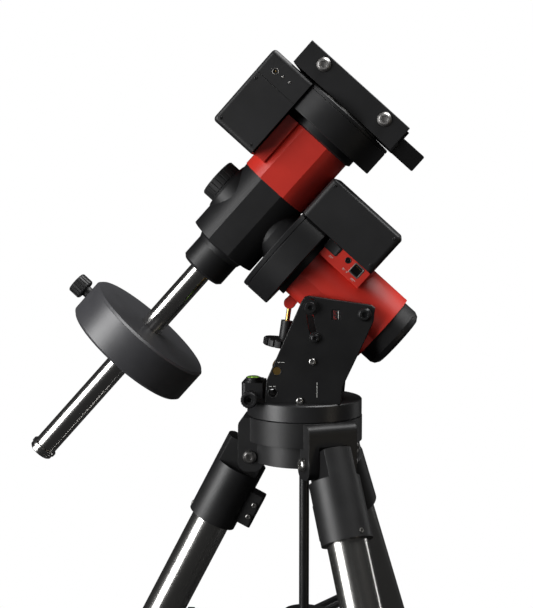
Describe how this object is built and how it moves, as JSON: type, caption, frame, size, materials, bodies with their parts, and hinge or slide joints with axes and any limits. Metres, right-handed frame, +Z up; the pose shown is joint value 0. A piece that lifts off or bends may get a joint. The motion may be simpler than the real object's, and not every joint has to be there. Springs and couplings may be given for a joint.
{
  "type": "motorised equatorial telescope mount on tripod",
  "caption": "Black and red motorised equatorial telescope mount with a counterweight on its shaft, on a steel tripod with sliding legs",
  "frame": {"origin": "the point on the ground under the azimuth axis, midway between the feet", "axes": "+Z up along the azimuth axis; the polar axis rises towards -X; -Y is the side with the power switch and sockets"},
  "size_m": [0.7326, 0.8376, 1.2735],
  "materials": {
    "black_paint": "satin black powder coat",
    "red_paint": "red anodised and painted aluminium",
    "cast_black": "fine textured black casting",
    "weight_black": "satin black enamel",
    "stainless": "brushed stainless steel",
    "polished_steel": "polished stainless steel",
    "bolt_steel": "bright zinc steel",
    "brass": "turned brass",
    "black_plastic": "moulded black plastic",
    "motor_can": "zinc plated",
    "rubber": "moulded rubber",
    "level_vial": "clear green vial"
  },
  "bodies": {
    "tripod_head": {"tripod_hub": "cast_black", "leg_pivot_bolts": "bolt_steel", "centre_rod": "black_paint"},
    "spreader": {"spreader_plate": "cast_black"},
    "spreader_nut": {"spreader_knob": "black_plastic"},
    "azimuth_base": {"azimuth_disc": "cast_black", "azimuth_block": "cast_black", "bubble_level": "level_vial", "side_plate_near": "cast_black", "side_plate_far": "cast_black", "altitude_pin": "brass"},
    "azimuth_adjuster": {"azimuth_screw": "black_plastic"},
    "altitude_nut": {"altitude_knob": "black_plastic"},
    "altitude_rod": {"altitude_screw": "brass"},
    "polar_housing": {"ra_housing": "red_paint", "ra_ring": "cast_black", "ra_motor_cover": "black_plastic", "ra_motor": "motor_can", "ra_sockets": "black_plastic", "altitude_bolts": "bolt_steel"},
    "switch_rocker": {"power_switch": "black_plastic"},
    "polar_worm": {"ra_worm": "bolt_steel"},
    "rear_cover": {"rear_cap": "black_plastic"},
    "polar_axis": {"ra_shaft": "bolt_steel", "ra_worm_wheel": "brass", "dec_body": "cast_black", "dec_housing": "red_paint", "dec_ring": "cast_black", "dec_motor_cover": "black_plastic", "dec_motor": "motor_can", "counterweight_shaft": "polished_steel", "shaft_end_cap": "polished_steel"},
    "front_cover": {"polar_cap": "black_plastic"},
    "dec_worm_shaft": {"dec_worm": "bolt_steel"},
    "dec_axis": {"dec_shaft": "bolt_steel", "dec_worm_wheel": "brass", "saddle_body": "cast_black"},
    "clamp_jaw": {"saddle_jaw": "cast_black"},
    "clamp_screw_a": {"clamp_bolt_a": "bolt_steel"},
    "clamp_screw_b": {"clamp_bolt_b": "bolt_steel"},
    "weight": {"counterweight": "weight_black"},
    "weight_lock": {"counterweight_knob": "black_plastic"},
    "leg_a": {"leg_sleeve_a": "cast_black", "upper_leg_tube_a": "stainless", "leg_clamp_a": "cast_black"},
    "lower_leg_a": {"lower_leg_tube_a": "stainless", "foot_tip_a": "rubber"},
    "leg_lock_a": {"leg_clamp_knob_a": "black_plastic"},
    "leg_b": {"leg_sleeve_b": "cast_black", "upper_leg_tube_b": "stainless", "leg_clamp_b": "cast_black"},
    "lower_leg_b": {"lower_leg_tube_b": "stainless", "foot_tip_b": "rubber"},
    "leg_lock_b": {"leg_clamp_knob_b": "black_plastic"},
    "leg_c": {"leg_sleeve_c": "cast_black", "upper_leg_tube_c": "stainless", "leg_clamp_c": "cast_black"},
    "lower_leg_c": {"lower_leg_tube_c": "stainless", "foot_tip_c": "rubber"},
    "leg_lock_c": {"leg_clamp_knob_c": "black_plastic"}
  },
  "joints": [
    {"name": "azimuth_turn", "type": "hinge", "parent": "tripod_head", "child": "azimuth_base", "pos_m": [0, 0, 0.83], "axis": [0, 0, 1], "range_deg": [-8, 8]},
    {"name": "azimuth_screw_turn", "type": "hinge", "parent": "azimuth_base", "child": "azimuth_adjuster", "pos_m": [-0.064, 0, 0.835], "axis": [0, 1, 0], "range_deg": [-2600, 2600]},
    {"name": "altitude_tilt", "type": "hinge", "parent": "azimuth_base", "child": "polar_housing", "pos_m": [0.078, 0, 0.942], "axis": [0, 1, 0], "range_deg": [-8, 5]},
    {"name": "altitude_knob_turn", "type": "hinge", "parent": "azimuth_base", "child": "altitude_nut", "pos_m": [-0.0303, 0, 0.8706], "axis": [0.1417, 0, 0.9899], "range_deg": [-2500, 1600]},
    {"name": "altitude_screw_travel", "type": "slide", "parent": "azimuth_base", "child": "altitude_rod", "axis": [0.1417, 0, 0.9899], "range_m": [-0.0135, 0.0085]},
    {"name": "ra_turn", "type": "hinge", "parent": "polar_housing", "child": "polar_axis", "pos_m": [-0.06454, 0, 1.06765], "axis": [-0.7431, 0, 0.6691], "continuous": true},
    {"name": "ra_worm_turn", "type": "hinge", "parent": "polar_housing", "child": "polar_worm", "pos_m": [0.03533, 0, 1.07246], "axis": [0, 1, 0], "continuous": true},
    {"name": "dec_turn", "type": "hinge", "parent": "polar_axis", "child": "dec_axis", "pos_m": [-0.06454, 0, 1.06765], "axis": [0.6691, 0, 0.7431], "continuous": true},
    {"name": "dec_worm_turn", "type": "hinge", "parent": "polar_axis", "child": "dec_worm_shaft", "pos_m": [-0.01715, 0, 1.22548], "axis": [0, 1, 0], "continuous": true},
    {"name": "power_switch_rock", "type": "hinge", "parent": "polar_housing", "child": "switch_rocker", "pos_m": [0.03883, -0.0574, 1.02403], "axis": [0.6691, 0, 0.7431], "range_deg": [-8, 8]},
    {"name": "rear_cap_pull", "type": "slide", "parent": "polar_housing", "child": "rear_cover", "axis": [0.7431, 0, -0.6691], "range_m": [0, 0.025]},
    {"name": "front_cap_pull", "type": "slide", "parent": "polar_axis", "child": "front_cover", "axis": [-0.7431, 0, 0.6691], "range_m": [0, 0.02]},
    {"name": "jaw_travel", "type": "slide", "parent": "dec_axis", "child": "clamp_jaw", "axis": [0, -1, 0], "range_m": [0, 0.006]},
    {"name": "clamp_bolt_a_turn", "type": "hinge", "parent": "clamp_jaw", "child": "clamp_screw_a", "pos_m": [0.02712, -0.06, 1.24416], "axis": [0, 1, 0], "range_deg": [-5, 1750]},
    {"name": "clamp_bolt_b_turn", "type": "hinge", "parent": "clamp_jaw", "child": "clamp_screw_b", "pos_m": [0.10031, -0.06, 1.17825], "axis": [0, 1, 0], "range_deg": [-5, 1750]},
    {"name": "counterweight_travel", "type": "slide", "parent": "polar_axis", "child": "weight", "axis": [0.6691, 0, 0.7431], "range_m": [-0.16, 0.092]},
    {"name": "counterweight_lock_turn", "type": "hinge", "parent": "weight", "child": "weight_lock", "pos_m": [-0.2813, 0, 0.96141], "axis": [-0.7431, 0, 0.6691], "continuous": true},
    {"name": "spreader_travel", "type": "slide", "parent": "tripod_head", "child": "spreader", "axis": [0, 0, -1], "range_m": [0, 0.188]},
    {"name": "spreader_knob_turn", "type": "hinge", "parent": "spreader", "child": "spreader_nut", "pos_m": [0, 0, 0.525], "axis": [0, 0, 1], "continuous": true},
    {"name": "leg_fold_a", "type": "hinge", "parent": "tripod_head", "child": "leg_a", "pos_m": [-0.067, 0, 0.757], "axis": [0, -1, 0], "range_deg": [0, 12]},
    {"name": "leg_extend_a", "type": "slide", "parent": "leg_a", "child": "lower_leg_a", "axis": [-0.4602, 0, -0.8878], "range_m": [0, 0.35]},
    {"name": "leg_knob_a_turn", "type": "hinge", "parent": "leg_a", "child": "leg_lock_a", "pos_m": [-0.34841, 0, 0.32167], "axis": [-0.8878, 0, 0.4602], "continuous": true},
    {"name": "leg_fold_b", "type": "hinge", "parent": "tripod_head", "child": "leg_b", "pos_m": [0.0335, -0.05802, 0.757], "axis": [0.866, 0.5, 0], "range_deg": [0, 12]},
    {"name": "leg_extend_b", "type": "slide", "parent": "leg_b", "child": "lower_leg_b", "axis": [0.2301, -0.3985, -0.8878], "range_m": [0, 0.35]},
    {"name": "leg_knob_b_turn", "type": "hinge", "parent": "leg_b", "child": "leg_lock_b", "pos_m": [0.1742, -0.30173, 0.32167], "axis": [0.4439, -0.7689, 0.4602], "continuous": true},
    {"name": "leg_fold_c", "type": "hinge", "parent": "tripod_head", "child": "leg_c", "pos_m": [0.0335, 0.05802, 0.757], "axis": [-0.866, 0.5, 0], "range_deg": [0, 12]},
    {"name": "leg_extend_c", "type": "slide", "parent": "leg_c", "child": "lower_leg_c", "axis": [0.2301, 0.3985, -0.8878], "range_m": [0, 0.35]},
    {"name": "leg_knob_c_turn", "type": "hinge", "parent": "leg_c", "child": "leg_lock_c", "pos_m": [0.1742, 0.30173, 0.32167], "axis": [0.4439, 0.7689, 0.4602], "continuous": true}
  ],
  "couplings": [
    {"joint": "leg_fold_b", "follows": "leg_fold_a", "ratio": 1},
    {"joint": "leg_fold_c", "follows": "leg_fold_a", "ratio": 1},
    {"joint": "spreader_travel", "follows": "leg_fold_a", "m_per_rad": 0.8976},
    {"joint": "azimuth_screw_turn", "follows": "azimuth_turn", "ratio": 311.65},
    {"joint": "altitude_screw_travel", "follows": "altitude_tilt", "m_per_rad": 0.0945},
    {"joint": "altitude_knob_turn", "follows": "altitude_tilt", "ratio": 296.88},
    {"joint": "ra_worm_turn", "follows": "ra_turn", "ratio": 144},
    {"joint": "dec_worm_turn", "follows": "dec_turn", "ratio": 144},
    {"joint": "clamp_bolt_a_turn", "follows": "jaw_travel", "rad_per_m": 5026.5},
    {"joint": "clamp_bolt_b_turn", "follows": "jaw_travel", "rad_per_m": 5026.5}
  ]
}
